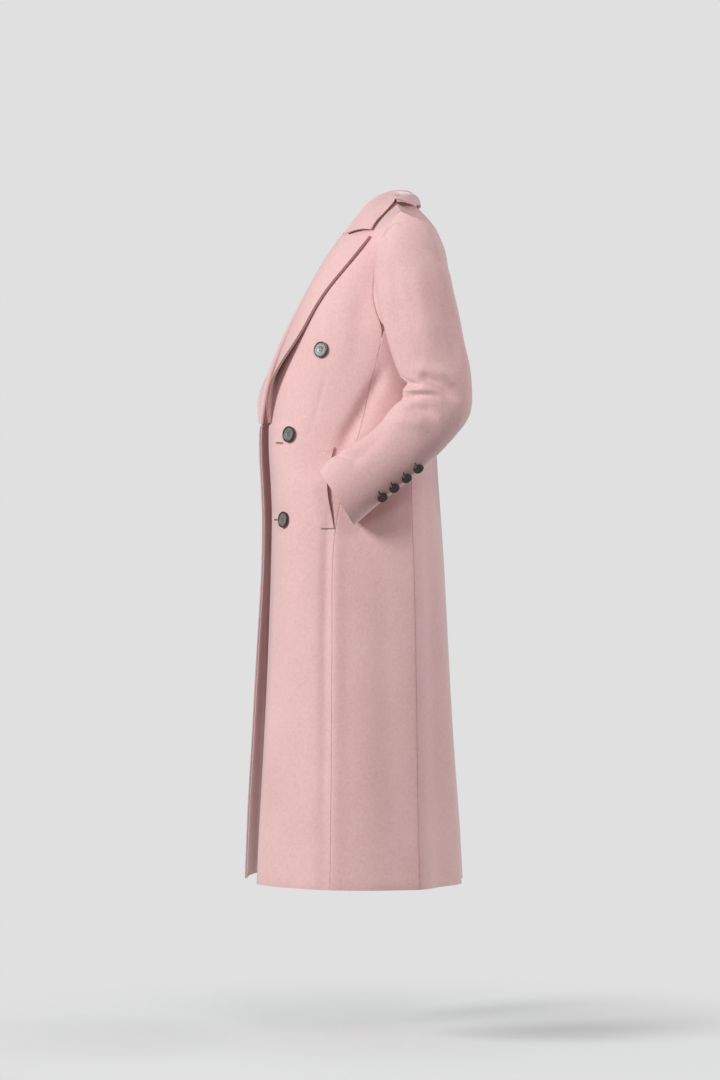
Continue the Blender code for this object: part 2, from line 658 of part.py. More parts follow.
# A turned button: a low rim around a dished face.
def build_button(name, place, out, diameter, material):
    radius = diameter / 2
    profile = ((0.0, 0.0), (0.80, 0.0), (1.0, 0.10), (1.0, 0.20), (0.90, 0.27), (0.72, 0.22), (0.0, 0.19))
    steps = 16
    mesh = bmesh.new()
    rings = []
    for share, height in profile:
        if share == 0.0:
            rings.append([mesh.verts.new((0.0, 0.0, height * radius))])
            continue
        turns = [2 * math.pi * k / steps for k in range(steps)]
        rings.append([mesh.verts.new((share * radius * math.cos(t), share * radius * math.sin(t), height * radius))
                      for t in turns])
    for low, high in zip(rings, rings[1:]):
        for k in range(steps):
            around = (k + 1) % steps
            corners = [low[k % len(low)], low[around % len(low)], high[around % len(high)], high[k % len(high)]]
            mesh.faces.new(list(dict.fromkeys(corners)))
    button = finish_object(name, mesh, material)
    button.location = Vector(place)
    button.rotation_euler = Vector(out).to_track_quat("Z", "Y").to_euler()
    return button


def build_buttons(side, material):
    for number, (height, distance, lift_left, lift_right) in enumerate(FRONT_BUTTONS, 1):
        out = outward(front_raw, side, height, distance)
        place = along(front_raw, side, height, distance) + out * (lift_left if side > 0 else lift_right)
        build_button(f"front_button_{side_name(side)}_{number}", place, out, FRONT_BUTTON, material)
    for number, station in enumerate(CUFF_BUTTON_STATIONS, 1):
        out = sleeve_outward(side, station, CUFF_BUTTON_TURN)
        place = sleeve_point(side, station, CUFF_BUTTON_TURN) + out * 0.0006
        build_button(f"cuff_button_{side_name(side)}_{number}", place, out, CUFF_BUTTON, material)


def main():
    for left_over in list(bpy.data.objects):
        bpy.data.objects.remove(left_over, do_unlink=True)
    wool = make_material("pink_wool", PINK, 0.9)
    horn = make_material("brown_button", BUTTON_BROWN, 0.35)
    for side in (1, -1):
        build_front(side, wool)
        build_back(side, wool)
        build_side(side, wool)
        build_sleeve_piece("top_sleeve", side, SLEEVE_TURNS[:TOP_SLEEVE_STEPS + 1], wool)
        build_sleeve_piece("under_sleeve", side, SLEEVE_TURNS[TOP_SLEEVE_STEPS:], wool)
        build_welt(side, wool)
        build_buttons(side, horn)
    build_collar(wool)


main()
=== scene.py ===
import bpy
import bmesh
import math
import numpy as np
from mathutils import Matrix, Vector
from mathutils.bvhtree import BVHTree


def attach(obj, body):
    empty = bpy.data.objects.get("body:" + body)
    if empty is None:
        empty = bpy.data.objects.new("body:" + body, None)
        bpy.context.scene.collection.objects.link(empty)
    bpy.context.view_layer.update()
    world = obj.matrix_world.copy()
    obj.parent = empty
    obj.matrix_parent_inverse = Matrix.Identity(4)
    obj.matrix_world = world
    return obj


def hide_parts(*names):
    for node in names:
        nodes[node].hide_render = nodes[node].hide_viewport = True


# Long double-breasted wool coat, worn open. Metres, +Z up, the front faces -Y, the wearer's left is +X.
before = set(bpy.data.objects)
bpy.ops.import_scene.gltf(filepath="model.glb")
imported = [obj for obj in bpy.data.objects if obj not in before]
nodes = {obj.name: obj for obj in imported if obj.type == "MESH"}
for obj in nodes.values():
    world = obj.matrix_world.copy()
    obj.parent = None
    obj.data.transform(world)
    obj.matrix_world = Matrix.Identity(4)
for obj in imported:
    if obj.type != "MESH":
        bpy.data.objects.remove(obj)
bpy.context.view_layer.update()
scene = bpy.context.scene
sides = {"left": 1, "right": -1}
print("frame loaded:", len(nodes), "nodes")

studio = {
    "cameraPlace": (6.9, -0.0368, -0.6256),
    "lens": 125,
    "floorZ": -1.54,
    "floorSize": 12,
    "floorTone": 0.80,
    "fadeStart": 0.15,  # the floor starts to melt into the backdrop this far from its middle
    "fadeEnd": 1.0,
    "backdrop": 0.745,  # brightness of the backdrop behind the coat
    "ambient": 0.26,
}
lamps = [
    {"name": "keySoftbox", "place": (2.7, -4.2, 1.7), "size": 1.8, "power": 262, "tint": (0.955, 1.0, 1.0)},
    {"name": "fillSoftbox", "place": (5.0, 0.6, 2.6), "size": 1.8, "power": 46, "tint": (1.0, 0.985, 0.98)},
    {"name": "backSoftbox", "place": (-0.2, 4.6, 1.0), "size": 2.0, "power": 118, "tint": (0.93, 0.98, 1.0)},
]


def deselectAll():
    if bpy.context.object and bpy.context.object.mode != "OBJECT":
        bpy.ops.object.mode_set(mode="OBJECT")
    bpy.ops.object.select_all(action="DESELECT")


def addNode(tree, kind, **values):
    node = tree.nodes.new(kind)
    for name, value in values.items():
        setattr(node, name, value)
    return node


def buildStudio():
    camData = bpy.data.cameras.new("photoCamera")
    camData.lens = studio["lens"]
    camData.sensor_width = 36
    cam = bpy.data.objects.new("photoCamera", camData)
    cam.location = studio["cameraPlace"]
    cam.rotation_euler = (math.radians(90), 0, math.radians(90))
    scene.collection.objects.link(cam)
    scene.camera = cam

    deselectAll()
    bpy.ops.mesh.primitive_circle_add(vertices=96, radius=studio["floorSize"] / 2, fill_type="NGON",
                                      location=(0, 0, studio["floorZ"]))
    floor = bpy.context.object
    floor.name = "studioFloor"
    floor.data.materials.append(floorMaterial())

    for lamp in lamps:
        data = bpy.data.lights.new(lamp["name"], "AREA")
        data.shape = "DISK"
        data.size = lamp["size"]
        data.energy = lamp["power"]
        data.color = lamp["tint"]
        light = bpy.data.objects.new(lamp["name"], data)
        light.location = lamp["place"]
        aim = Vector((0, 0, -0.6)) - Vector(lamp["place"])
        light.rotation_euler = aim.to_track_quat("-Z", "Y").to_euler()
        scene.collection.objects.link(light)

    world = bpy.data.worlds.new("studioWorld")
    world.use_nodes = True
    scene.world = world
    tree = world.node_tree
    tree.nodes.clear()
    seen = addNode(tree, "ShaderNodeBackground")
    seen.inputs["Color"].default_value = (studio["backdrop"],) * 3 + (1,)
    glow = addNode(tree, "ShaderNodeBackground")
    glow.inputs["Color"].default_value = (1, 1, 1, 1)
    glow.inputs["Strength"].default_value = studio["ambient"]
    path = addNode(tree, "ShaderNodeLightPath")
    mix = addNode(tree, "ShaderNodeMixShader")
    out = addNode(tree, "ShaderNodeOutputWorld")
    tree.links.new(path.outputs["Is Camera Ray"], mix.inputs["Fac"])
    tree.links.new(glow.outputs[0], mix.inputs[1])
    tree.links.new(seen.outputs[0], mix.inputs[2])
    tree.links.new(mix.outputs[0], out.inputs["Surface"])
    scene.view_settings.view_transform = "Standard"
    print("studio ready")


def floorMaterial():
    mat = bpy.data.materials.new("paleFloor")
    mat.use_nodes = True
    tree = mat.node_tree
    shader = tree.nodes["Principled BSDF"]
    shader.inputs["Base Color"].default_value = (studio["floorTone"],) * 3 + (1,)
    shader.inputs["Roughness"].default_value = 0.85
    coords = addNode(tree, "ShaderNodeTexCoord")
    reach = addNode(tree, "ShaderNodeVectorMath", operation="LENGTH")
    fade = addNode(tree, "ShaderNodeMapRange", interpolation_type="SMOOTHSTEP")
    fade.inputs["From Min"].default_value = studio["fadeStart"]
    fade.inputs["From Max"].default_value = studio["fadeEnd"]
    clear = addNode(tree, "ShaderNodeBsdfTransparent")
    mix = addNode(tree, "ShaderNodeMixShader")
    tree.links.new(coords.outputs["Object"], reach.inputs[0])
    tree.links.new(reach.outputs["Value"], fade.inputs["Value"])
    tree.links.new(fade.outputs["Result"], mix.inputs["Fac"])
    tree.links.new(shader.outputs[0], mix.inputs[1])
    tree.links.new(clear.outputs[0], mix.inputs[2])
    tree.links.new(mix.outputs[0], tree.nodes["Material Output"].inputs["Surface"])
    return mat


# The folds of the worn cloth. Each has the face of the coat that it shows on, and its line as rows of
# (y on the left and right faces or x on the front and back, z, how far it stands out or sinks in, half its width),
# all in millimetres.
bodyFolds = [
    {"name": "valley beside the side front seam", "face": "left", "line": [
        (-92, -560, 0, 8), (-97, -640, -2.2, 9), (-99, -800, -2.6, 10), (-100, -1000, -2.2, 11),
        (-101, -1200, -1.2, 12), (-101, -1246, -1.0, 12)]},
    {"name": "ridge on the side front seam", "face": "left", "line": [
        (-76, -570, 0, 11), (-78, -660, 1.6, 12), (-80, -850, 2.0, 13), (-81, -1050, 1.4, 14), (-82, -1246, 0.8, 15)]},
    {"name": "drag from under the arm", "face": "left", "line": [
        (6, -318, -1, 12), (-6, -345, -5, 13), (-30, -392, -6, 15), (-58, -436, -5, 14), (-76, -470, -1.5, 12)]},
    {"name": "roll below the drag", "face": "left", "line": [
        (18, -400, 0, 14), (-14, -432, 2.0, 16), (-44, -478, 2.0, 16), (-60, -520, 0, 14)]},
    {"name": "soft side valley", "face": "left", "line": [
        (8, -640, 0, 20), (10, -760, -2.5, 24), (14, -960, -3.5, 28), (20, -1140, -2.5, 30), (24, -1246, -1.5, 30)]},
    {"name": "side back ridge", "face": "left", "line": [
        (56, -560, 0, 16), (60, -700, 2.0, 20), (66, -900, 3.0, 24), (74, -1246, 3.5, 26)]},
    {"name": "back turn valley", "face": "left", "line": [
        (84, -470, 0, 9), (86, -560, -2.4, 11), (92, -760, -3.6, 14), (100, -1000, -4.0, 17), (108, -1246, -4.2, 20)]},
    {"name": "back turn ridge", "face": "left", "line": [
        (104, -470, 0, 10), (106, -560, 2.0, 12), (112, -760, 3.0, 14), (122, -1000, 3.0, 16), (130, -1246, 2.6, 18)]},
    {"name": "front skirt valley", "face": "left", "line": [
        (-140, -760, 0, 16), (-146, -880, -1.6, 20), (-152, -1060, -2.4, 24), (-156, -1246, -2.4, 26)]},
    {"name": "dart", "face": "left", "line": [
        (-95, -318, 0, 4), (-104, -352, -0.9, 4), (-117, -400, -0.9, 4), (-128, -440, 0, 4)]},
    {"name": "chest hollow", "face": "left", "line": [
        (-30, -150, 0, 18), (-34, -210, -2.2, 20), (-40, -270, -2.5, 22), (-52, -330, 0, 20)]},
    {"name": "valley beside the right side front seam", "face": "right", "line": [
        (-90, -580, 0, 9), (-96, -700, -2.8, 11), (-98, -900, -2.2, 12), (-104, -1140, -1.6, 13),
        (-104, -1246, -1.2, 13)]},
    {"name": "right seam ridge", "face": "right", "line": [
        (-74, -600, 0, 12), (-77, -720, 2.0, 13), (-82, -980, 1.6, 15), (-84, -1246, 0.6, 16)]},
    {"name": "right drag from under the arm", "face": "right", "line": [
        (10, -330, -1, 12), (-4, -360, -4.5, 14), (-34, -404, -5, 15), (-66, -452, -3, 13), (-80, -480, 0, 12)]},
    {"name": "right soft side valley", "face": "right", "line": [
        (2, -700, 0, 22), (4, -860, -3.5, 27), (2, -1040, -4.0, 30), (10, -1246, -3.0, 30)]},
    {"name": "right side back ridge", "face": "right", "line": [
        (50, -620, 0, 16), (58, -820, 3.0, 22), (62, -1040, 3.5, 25), (70, -1246, 3.0, 26)]},
    {"name": "right back turn valley", "face": "right", "line": [
        (88, -500, 0, 10), (92, -640, -2.6, 12), (98, -860, -4.2, 16), (104, -1246, -3.6, 20)]},
    {"name": "right front skirt valley", "face": "right", "line": [
        (-138, -700, 0, 16), (-150, -840, -2.4, 20), (-158, -1040, -3.0, 24), (-164, -1246, -2.2, 26)]},
    {"name": "fold down the left front", "face": "front", "line": [
        (104, -640, 0, 16), (112, -780, 1.6, 18), (124, -960, 2.4, 22), (140, -1246, 3.0, 24)]},
    {"name": "fold down the right front", "face": "front", "line": [
        (-60, -600, 0, 18), (-66, -760, -3.0, 22), (-78, -960, -4.5, 26), (-92, -1246, -4.0, 30)]},
    {"name": "right front ridge", "face": "front", "line": [
        (-112, -640, 0, 18), (-124, -820, 3.0, 22), (-138, -1040, 4.0, 25), (-154, -1246, 3.5, 27)]},
    {"name": "back fold left of the middle", "face": "back", "line": [
        (38, -520, 0, 18), (44, -680, -3.0, 22), (52, -880, -5.0, 26), (62, -1246, -6.0, 30)]},
    {"name": "back ridge left", "face": "back", "line": [
        (92, -560, 0, 20), (100, -740, 2.5, 24), (112, -960, 4.0, 27), (124, -1246, 4.5, 30)]},
    {"name": "back fold right of the middle", "face": "back", "line": [
        (-46, -480, 0, 18), (-54, -660, -3.5, 22), (-66, -900, -5.0, 28), (-70, -1246, -5.0, 32)]},
    {"name": "back ridge right", "face": "back", "line": [
        (-100, -600, 0, 22), (-108, -780, 3.0, 26), (-116, -1000, 4.0, 28), (-130, -1246, 3.5, 30)]},
    {"name": "hollow over the seat", "face": "back", "line": [
        (-60, -380, 0, 26), (-20, -400, -2.5, 26), (30, -396, -2.5, 26), (70, -376, 0, 26)]},
    {"name": "blade drag left", "face": "back", "line": [
        (150, -150, 0, 14), (128, -200, -2.2, 18), (108, -260, -2.0, 18), (96, -320, 0, 16)]},
    {"name": "blade drag right", "face": "back", "line": [
        (-152, -140, 0, 14), (-134, -196, -2.6, 18), (-116, -250, -2.2, 18), (-100, -300, 0, 16)]},
    {"name": "upper back hollow", "face": "back", "line": [
        (-80, -60, 0, 14), (-30, -72, -1.2, 16), (36, -70, -1.2, 16), (84, -58, 0, 14)]},
]
# The same for the sleeves, on the outer or inner half of each.
sleeveFolds = [
    {"name": "deep elbow notch", "half": "outer", "side": "left", "line": [
        (30, -345, -4, 9), (42, -349, -5.5, 7), (54, -351, -4.5, 6), (64, -353, -2.0, 6), (76, -352, 0, 6)]},
    {"name": "lower elbow crease", "half": "outer", "side": "left", "line": [
        (34, -371, -3, 8), (54, -369, -4.0, 6), (74, -368, -3.2, 6), (93, -370, -1.6, 7), (106, -376, 0, 8)]},
    {"name": "bulge between the creases", "half": "outer", "side": "left", "line": [
        (40, -359, 0, 6), (56, -360, 2.2, 6), (74, -361, 2.6, 7), (96, -362, 1.2, 9), (112, -366, 0, 9)]},
    {"name": "long crease over the elbow", "half": "outer", "side": "left", "line": [
        (68, -334, 0, 8), (78, -338, -2.8, 8), (98, -348, -3.0, 9), (122, -364, -2.6, 9), (143, -381, 0, 9)]},
    {"name": "bulge above the elbow", "half": "outer", "side": "left", "line": [
        (52, -322, 0, 10), (76, -322, 2.4, 12), (104, -332, 2.6, 12), (134, -352, 0, 12)]},
    {"name": "forearm crease", "half": "outer", "side": "left", "line": [
        (40, -396, 0, 8), (58, -392, -2.2, 8), (80, -396, -2.4, 9), (104, -410, 0, 9)]},
    {"name": "forearm roll", "half": "outer", "side": "left", "line": [
        (14, -412, 0, 10), (40, -414, 1.6, 11), (66, -420, 1.6, 12), (84, -436, 0, 12)]},
    {"name": "forearm hollow", "half": "outer", "side": "left", "line": [
        (6, -430, 0, 12), (-14, -452, -1.8, 13), (-44, -478, -1.6, 13), (-62, -500, 0, 12)]},
    {"name": "crease at the wrist", "half": "outer", "side": "left", "line": [
        (-84, -470, -1.6, 6), (-68, -475, -2.4, 6), (-52, -478, -1.4, 7), (-38, -484, 0, 7)]},
    {"name": "armhole crease at the back", "half": "outer", "side": "left", "line": [
        (74, -100, 0, 8), (86, -108, -0.7, 8), (100, -120, -1.2, 8), (114, -136, -1.4, 8), (124, -156, 0, 8)]},
    {"name": "sleeve head hollow", "half": "outer", "side": "left", "line": [
        (26, -120, 0, 14), (22, -160, -1.6, 16), (26, -220, -2.0, 18), (34, -280, -1.2, 18), (44, -320, 0, 16)]},
    {"name": "long roll down the arm", "half": "outer", "side": "left", "line": [
        (64, -120, 0, 16), (72, -180, 1.6, 18), (84, -250, 2.0, 20), (96, -310, 0, 18)]},
    {"name": "back arm hollow", "half": "outer", "side": "left", "line": [
        (112, -180, 0, 12), (124, -230, -2.0, 14), (134, -280, -2.0, 14), (140, -330, 0, 13)]},
    {"name": "inner elbow crease", "half": "inner", "side": "left", "line": [
        (30, -350, -4, 9), (52, -356, -4.0, 8), (74, -360, -2.0, 8), (90, -362, 0, 8)]},
    {"name": "right elbow notch", "half": "outer", "side": "right", "line": [
        (30, -350, -4, 9), (44, -356, -5.0, 7), (58, -360, -4.0, 7), (78, -364, 0, 7)]},
    {"name": "right lower crease", "half": "outer", "side": "right", "line": [
        (32, -378, -3, 8), (52, -380, -3.6, 7), (78, -384, -2.0, 8), (100, -392, 0, 8)]},
    {"name": "right bulge", "half": "outer", "side": "right", "line": [
        (40, -366, 0, 7), (58, -369, 2.2, 7), (80, -372, 2.0, 8), (104, -378, 0, 9)]},
    {"name": "right long crease", "half": "outer", "side": "right", "line": [
        (62, -330, 0, 8), (80, -334, -3.0, 9), (106, -346, -3.0, 9), (138, -372, 0, 9)]},
    {"name": "right armhole crease", "half": "outer", "side": "right", "line": [
        (68, -92, 0, 8), (84, -104, -1.0, 8), (104, -120, -1.5, 8), (124, -146, 0, 8)]},
    {"name": "right sleeve hollow", "half": "outer", "side": "right", "line": [
        (30, -130, 0, 14), (28, -190, -2.2, 17), (38, -260, -1.6, 18), (48, -320, 0, 16)]},
    {"name": "right forearm hollow", "half": "outer", "side": "right", "line": [
        (10, -436, 0, 12), (-18, -456, -2.2, 13), (-52, -486, 0, 13)]},
    {"name": "right inner elbow crease", "half": "inner", "side": "right", "line": [
        (30, -352, -4, 9), (50, -360, -4.0, 8), (76, -362, -1.5, 8), (92, -364, 0, 8)]},
]
# Middle line of the left sleeve, from the armhole to the cuff
sleeveMiddle = np.array([
    (0.210, 0.051, -0.125), (0.217, 0.058, -0.162), (0.223, 0.066, -0.198), (0.226, 0.072, -0.234),
    (0.230, 0.081, -0.271), (0.234, 0.090, -0.308), (0.238, 0.099, -0.347), (0.240, 0.102, -0.369),
    (0.240, 0.097, -0.393), (0.240, 0.077, -0.413), (0.239, 0.059, -0.437), (0.236, 0.034, -0.462),
    (0.232, 0.003, -0.486), (0.228, -0.029, -0.508), (0.225, -0.057, -0.529), (0.223, -0.079, -0.550)])
drape = {
    "bodyMiddleY": -0.035,
    "sideStarts": (0.085, 0.06),    # where a face of the body begins, and how far it takes to show in full
    "frontStarts": (-0.08, 0.06),
    "backStarts": (0.03, 0.05),
    "sleeveStarts": (0.200, 0.02),  # the armhole's edge, nearer the middle, stays on the body
    "unevenness": 0.0008,   # slow waviness of the heavy cloth
    "bodyGain": 1.55,       # how strongly the folds in the tables show
    "sleeveGain": 2.35,
    "breakZ": -0.412,        # where the lapel starts to roll
    "breakReach": 0.006,     # how soon below it the front edge has come forward
    "breakForward": 0.0050,  # how far it comes forward
    "breakFades": (-0.60, 0.16),  # z where that has died away, and over what height
    "edgeStarts": (-0.13, 0.05),  # y behind which the front stays where it is
}


def smoothStep(values):
    share = np.clip(values, 0, 1)
    return share * share * (3 - 2 * share)


def foldAmount(u, v, line):
    nearest = np.full(len(u), 1e9)
    amount = np.zeros(len(u))
    for start, end in zip(line, line[1:]):
        du, dv = end[0] - start[0], end[1] - start[1]
        share = np.clip(((u - start[0]) * du + (v - start[1]) * dv) / (du * du + dv * dv), 0, 1)
        distance = np.hypot(u - start[0] - share * du, v - start[1] - share * dv)
        depth = start[2] + share * (end[2] - start[2])
        width = start[3] + share * (end[3] - start[3])
        closer = distance < nearest
        amount[closer] = (depth * np.exp(-(distance / width) ** 2))[closer]
        nearest[closer] = distance[closer]
    return amount / 1000


def bodyShift(points):
    x, y, z = points.T
    away = np.stack((x, y - drape["bodyMiddleY"]), axis=1)
    away /= np.maximum(np.linalg.norm(away, axis=1), 1e-6)[:, None]
    sideStart, sideReach = drape["sideStarts"]
    frontStart, frontReach = drape["frontStarts"]
    backStart, backReach = drape["backStarts"]
    showing = {
        "left": smoothStep((x - sideStart) / sideReach),
        "right": smoothStep((-x - sideStart) / sideReach),
        "front": smoothStep((frontStart - y) / frontReach),
        "back": smoothStep((y - backStart) / backReach),
    }
    along = {"left": y, "right": y, "front": x, "back": x}
    amount = np.zeros(len(points))
    for fold in bodyFolds:
        face = fold["face"]
        amount += showing[face] * foldAmount(along[face] * 1000, z * 1000, fold["line"]) * drape["bodyGain"]
    waviness = (np.sin(x * 31 + z * 9) + np.sin(y * 27 - z * 13 + 1.7) + np.sin((x + y) * 19 + z * 23 + 0.4)) / 3
    amount += waviness * drape["unevenness"]
    shift = np.zeros_like(points)
    shift[:, 0] = away[:, 0] * amount
    shift[:, 1] = away[:, 1] * amount
    fadeEnd, fadeReach = drape["breakFades"]
    edgeStart, edgeReach = drape["edgeStarts"]
    below = smoothStep((drape["breakZ"] - z) / drape["breakReach"]) * smoothStep((z - fadeEnd) / fadeReach)
    nearEdge = smoothStep((edgeStart - y) / edgeReach)
    shift[:, 1] -= drape["breakForward"] * below * nearEdge
    return shift


def sleeveShift(points, sideName):
    side = sides[sideName]
    middle = sleeveMiddle * np.array((side, 1, 1))
    tangents = np.gradient(middle, axis=0)
    tangents /= np.linalg.norm(tangents, axis=1)[:, None]
    nearest = np.argmin(np.linalg.norm(points[:, None, :] - middle[None, :, :], axis=2), axis=1)
    away = points - middle[nearest]
    away -= tangents[nearest] * np.sum(away * tangents[nearest], axis=1)[:, None]
    away /= np.maximum(np.linalg.norm(away, axis=1), 1e-6)[:, None]
    outer = smoothStep(away[:, 0] * side * 1.4 + 0.75)
    showing = {"outer": outer, "inner": 1 - outer}
    sleeveStart, sleeveReach = drape["sleeveStarts"]
    free = smoothStep((np.abs(points[:, 0]) - sleeveStart) / sleeveReach)
    amount = np.zeros(len(points))
    for fold in sleeveFolds:
        if fold["side"] == sideName:
            depth = foldAmount(points[:, 1] * 1000, points[:, 2] * 1000, fold["line"])
            amount += showing[fold["half"]] * depth * drape["sleeveGain"]
    waviness = np.sin(points[:, 1] * 43 + points[:, 2] * 37) + np.sin(points[:, 2] * 61 - points[:, 1] * 29 + 0.9)
    amount += waviness / 2 * drape["unevenness"]
    return away * (amount * free)[:, None]


def placeShift(points, nodeName):
    kind, sideName = nodeName.rsplit("_", 1) if "_" in nodeName else (nodeName, "")
    if "sleeve" in kind or "cuff" in kind:
        return sleeveShift(points, "left" if "left" in nodeName else "right")
    return bodyShift(points)


shell = {
    "smoothLevels": 3,
    "keepEdgeAngle": 62,   # edges sharper than this stay edges when the cloth is smoothed
    "roundEdgeAngle": 60,  # and edges sharper than this are rounded afterwards
    "patchAngle": 40,      # triangles that bend less than this are parts of one patch
    "weldDistance": 0.00002,
    "edgeRound": 0.0006,
}


def joinQuads(mesh):
    # The CAD faces are triangles. Two that share the longest side of both were one four-sided patch of cloth.
    longest = {}
    for face in mesh.faces:
        longest[face] = max(face.edges, key=lambda edge: edge.calc_length())
    diagonals = [edge for edge in mesh.edges
                 if len(edge.link_faces) == 2 and all(longest[face] == edge for face in edge.link_faces)
                 and edge.calc_face_angle(0) < math.radians(shell["patchAngle"])]
    bmesh.ops.dissolve_edges(mesh, edges=diagonals, use_verts=False)
    left = [face for face in mesh.faces if len(face.verts) == 3]
    bmesh.ops.join_triangles(mesh, faces=left, angle_face_threshold=math.radians(shell["patchAngle"]),
                             angle_shape_threshold=math.radians(180))


def copyCloth(nodeName):
    mesh = bmesh.new()
    mesh.from_mesh(nodes[nodeName].data)
    bmesh.ops.remove_doubles(mesh, verts=mesh.verts, dist=shell["weldDistance"])
    joinQuads(mesh)
    creases = mesh.edges.layers.float.new("crease_edge")
    for edge in mesh.edges:
        if edge.calc_face_angle(0) > math.radians(shell["keepEdgeAngle"]):
            edge[creases] = 1.0
    data = bpy.data.meshes.new(nodeName + "Cloth")
    mesh.to_mesh(data)
    mesh.free()
    piece = bpy.data.objects.new(nodeName + "Cloth", data)
    scene.collection.objects.link(piece)
    return piece


def applyModifiers(piece):
    deselectAll()
    piece.select_set(True)
    bpy.context.view_layer.objects.active = piece
    for modifier in list(piece.modifiers):
        bpy.ops.object.modifier_apply(modifier=modifier.name)


def movePoints(piece, nodeName):
    data = piece.data
    flat = np.empty(len(data.vertices) * 3)
    data.vertices.foreach_get("co", flat)
    points = flat.reshape(-1, 3)
    points = points + placeShift(points, nodeName)
    data.vertices.foreach_set("co", points.ravel())
    data.update()


def makeCloth(nodeName, material):
    piece = copyCloth(nodeName)
    smooth = piece.modifiers.new("smooth", "SUBSURF")
    smooth.levels = shell["smoothLevels"]
    smooth.render_levels = shell["smoothLevels"]
    applyModifiers(piece)
    movePoints(piece, nodeName)
    edge = piece.modifiers.new("softEdge", "BEVEL")
    edge.width = shell["edgeRound"]
    edge.segments = 2
    edge.limit_method = "ANGLE"
    edge.angle_limit = math.radians(shell["roundEdgeAngle"])
    applyModifiers(piece)
    piece.data.shade_smooth()
    piece.data.materials.clear()
    piece.data.materials.append(material)
    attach(piece, "root")
    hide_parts(nodeName)
    return piece


# Cut of each kind of panel: flat width and length in metres, and the area of the true cut in square metres
panelCuts = {
    "front_left": {"flat": (0.36, 1.30), "area": 0.290, "held": "hung", "restsOn": []},
    "front_right": {"flat": (0.46, 1.30), "area": 0.385, "held": "hung", "restsOn": []},
    "facing_left": {"flat": (0.22, 1.30), "area": 0.145, "held": "hung", "restsOn": ["front_left"]},
    "facing_right": {"flat": (0.22, 1.30), "area": 0.147, "held": "hung", "restsOn": ["front_right"]},
    "side": {"flat": (0.19, 1.05), "area": 0.150, "held": "hung", "restsOn": []},
    "back": {"flat": (0.30, 1.31), "area": 0.290, "held": "hung", "restsOn": []},
    "top_sleeve": {"flat": (0.30, 0.66), "area": 0.112, "held": "hung", "restsOn": []},
    "under_sleeve": {"flat": (0.18, 0.52), "area": 0.068, "held": "hung", "restsOn": []},
    "pocket_welt": {"flat": (0.045, 0.17), "area": 0.0053, "held": "laid", "restsOn": []},
    "collar": {"flat": (0.44, 0.12), "area": 0.033, "held": "folded", "restsOn": ["back_left", "back_right"]},
}


def makeGroup(name, inputs, outputs):
    group = bpy.data.node_groups.new(name, "ShaderNodeTree")
    for label, kind, value in inputs:
        socket = group.interface.new_socket(name=label, in_out="INPUT", socket_type=kind)
        if value is not None:
            socket.default_value = value
    for label, kind in outputs:
        group.interface.new_socket(name=label, in_out="OUTPUT", socket_type=kind)
    start = group.nodes.new("NodeGroupInput")
    end = group.nodes.new("NodeGroupOutput")
    return group, start, end


def mottleGroup():
    # Cloudy variation: a slow and a quick noise mixed, stretched to a range
    group, start, end = makeGroup(
        "cloudyMottle",
        [("Vector", "NodeSocketVector", None), ("Slow Scale", "NodeSocketFloat", 20.0),
         ("Quick Scale", "NodeSocketFloat", 200.0), ("Quick Share", "NodeSocketFloat", 0.4)],
        [("Mask", "NodeSocketFloat")])
    slow = addNode(group, "ShaderNodeTexNoise")
    slow.inputs["Detail"].default_value = 3
    quick = addNode(group, "ShaderNodeTexNoise")
    quick.inputs["Detail"].default_value = 5
    mix = addNode(group, "ShaderNodeMix", data_type="FLOAT")
    spread = addNode(group, "ShaderNodeMapRange")
    spread.inputs["From Min"].default_value = 0.3
    spread.inputs["From Max"].default_value = 0.7
    links = group.links
    links.new(start.outputs["Vector"], slow.inputs["Vector"])
    links.new(start.outputs["Vector"], quick.inputs["Vector"])
    links.new(start.outputs["Slow Scale"], slow.inputs["Scale"])
    links.new(start.outputs["Quick Scale"], quick.inputs["Scale"])
    links.new(start.outputs["Quick Share"], mix.inputs["Factor"])
    links.new(slow.outputs["Fac"], mix.inputs[2])
    links.new(quick.outputs["Fac"], mix.inputs[3])
    links.new(mix.outputs[0], spread.inputs["Value"])
    links.new(spread.outputs["Result"], end.inputs["Mask"])
    return group


